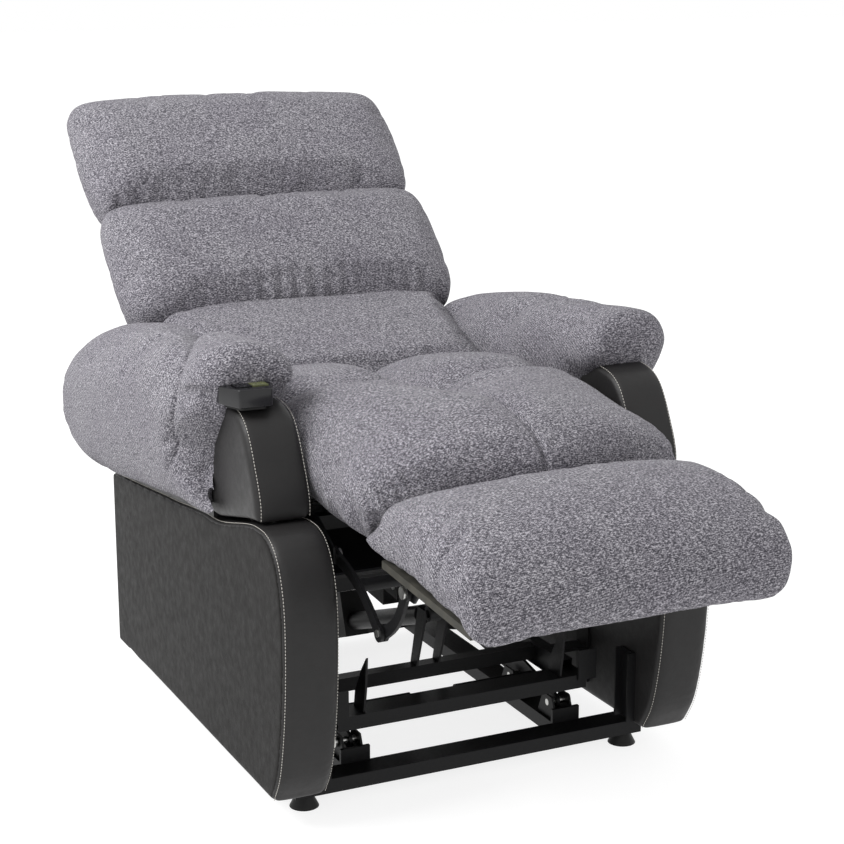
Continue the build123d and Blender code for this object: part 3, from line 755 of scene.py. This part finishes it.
def arms_and_panels(hide, shade_copy, thread, cloth):
    panel = panel_line()
    facing = facing_line()
    for side, word in ((-1, "left"), (1, "right")):
        cover = leather_box(f"side_cover_{word}", panel, [(0.852, 0.054)], side, PANEL_IN, PANEL_OUT,
                            0.006, 0.004, f"side_panel_{word}", hide)
        # the outward face of each side panel gets painted shade: a darker, less shiny copy of its leather
        paint_outer_face_shade(cover, side, shade_copy)
        foot = [(0.330, 0.660), (0.330, 0.468), (0.233, 0.475), (0.115, 0.503), (0.088, 0.508)]
        leather_box(f"facing_cover_{word}", facing, foot, side, PANEL_IN + 0.001, PANEL_OUT - 0.002,
                    0.006, 0.004, f"arm_facing_{word}", hide)
        for place, x in (("inner", PANEL_IN + STITCH_IN), ("outer", PANEL_OUT - STITCH_IN)):
            stitches(f"panel_stitches_{place}_{word}",
                     [(side * x, y + Y0 - 0.001, z + 0.001) for y, z in panel], thread)
            stitches(f"facing_stitches_{place}_{word}",
                     [(side * min(x, PANEL_OUT - FACING_STITCH), y + Y0 - 0.002, z + 0.001)
                      for y, z in facing], thread)
        arm_saddle(f"arm_cushion_{word}", side, f"arm_pad_{word}", cloth)


# ---- stage ----
def camera():
    data = bpy.data.cameras.new("camera")
    data.lens = 81.82
    data.sensor_width = 36.0
    data.clip_end = 60
    obj = bpy.data.objects.new("camera", data)
    bpy.context.scene.collection.objects.link(obj)
    obj.location = (-1.4086, -2.6733 + Y0, 1.3912)
    obj.rotation_euler = (math.radians(90 - 13.849), 0, math.radians(-25.525))
    bpy.context.scene.camera = obj


def area_light(name, place, size, power):
    data = bpy.data.lights.new(name, "AREA")
    data.shape = "RECTANGLE"
    data.size, data.size_y = size
    data.energy = power
    obj = bpy.data.objects.new(name, data)
    bpy.context.scene.collection.objects.link(obj)
    obj.location = place
    target = Vector((0, 0, 0.45))
    obj.rotation_euler = (target - Vector(place)).to_track_quat("-Z", "Y").to_euler()


def stage():
    floor = new_object("floor", [(-30, -30, 0), (30, -30, 0), (30, 30, 0), (-30, 30, 0)], [(0, 1, 2, 3)])
    material = coated("floor_paint", (0.30, 0.30, 0.30), (0.32, 0.32, 0.32), 0.95, 3.0, 0.0001, shine=0.0)
    shader = material.node_tree.nodes["Principled BSDF"]
    shader.inputs["Emission Color"].default_value = (1, 1, 1, 1)
    shader.inputs["Emission Strength"].default_value = 0.82
    floor.data.materials.append(material)
    world = bpy.data.worlds.new("world")
    bpy.context.scene.world = world
    world.use_nodes = True
    background = world.node_tree.nodes["Background"]
    background.inputs["Color"].default_value = (1, 1, 1, 1)
    background.inputs["Strength"].default_value = 1.0
    area_light("key", (-2.7, -0.1, 3.1), (2.0, 1.6), 135)
    scene = bpy.context.scene
    scene.view_settings.view_transform = "Standard"


def paint_frame(materials):
    by_slot = {m["node"]: m["material_slot"] for m in frame["record"]["subparts"]}
    for node, obj in frame["nodes"].items():
        obj.data.materials.clear()
        obj.data.materials.append(materials[by_slot[node]])


camera()
stage()
fabric = tweed()
hide = leather("black_leather", (0.0120, 0.0115, 0.0116), (0.0145, 0.0138, 0.0138), 0.28)
# a darker copy of the black leather with less shine, used as painted shade on the side panels' outer faces
painted_shade_hide = leather("black_leather_painted_shade", (0.0066, 0.0061, 0.0058), (0.0082, 0.0075, 0.0072), 0.055)
thread = coated("pale_thread", (0.36, 0.34, 0.31), (0.50, 0.48, 0.44), 0.8, 900.0, 0.0002)
materials = {
    "upholstery": fabric,
    "leather": hide,
    # black dust cover cloth, with its colour kept darker than the cloth itself: partly the cloth's own black,
    # partly painted shade under the seat
    "cover_cloth": coated("dust_cover_and_painted_shade", (0.005, 0.005, 0.006), (0.012, 0.012, 0.013),
                          0.95, 700.0, 0.0005, shine=0.05),
    "timber": coated("board", (0.020, 0.019, 0.014), (0.040, 0.037, 0.028), 0.75, 45.0, 0.0003),
    "zinc": coated("zinc_plate", (0.52, 0.52, 0.50), (0.70, 0.70, 0.68), 0.32, 60.0, 0.0001, 1.0),
    # black powder coat, with its colour kept darker than the coat itself: partly the steel's own black, partly
    # painted shade among the parts under the seat
    "black_steel": coated("black_coat_and_painted_shade", (0.004, 0.004, 0.0045), (0.007, 0.007, 0.0075),
                          0.45, 300.0, 0.0001, shine=0.18),
    "black_plastic": coated("black_plastic", (0.007, 0.007, 0.007), (0.011, 0.011, 0.011),
                            0.5, 400.0, 0.0002, shine=0.25),
    "gloss_black": coated("gloss_black", (0.006, 0.006, 0.007), (0.009, 0.009, 0.010),
                          0.16, 30.0, 0.00005, shine=0.4),
    "lit_key": coated("lit_key", (0.075, 0.082, 0.035), (0.11, 0.12, 0.055), 0.25, 80.0, 0.0001),
}
paint_frame(materials)
headrest(fabric)
mid_pillow(fabric)
lower_pillow(fabric)
seat_cushion(fabric)
footrest_cushion(fabric)
arms_and_panels(hide, painted_shade_hide, thread, fabric)
softened("handset_housing", 0.0035, materials["gloss_black"], "chassis")
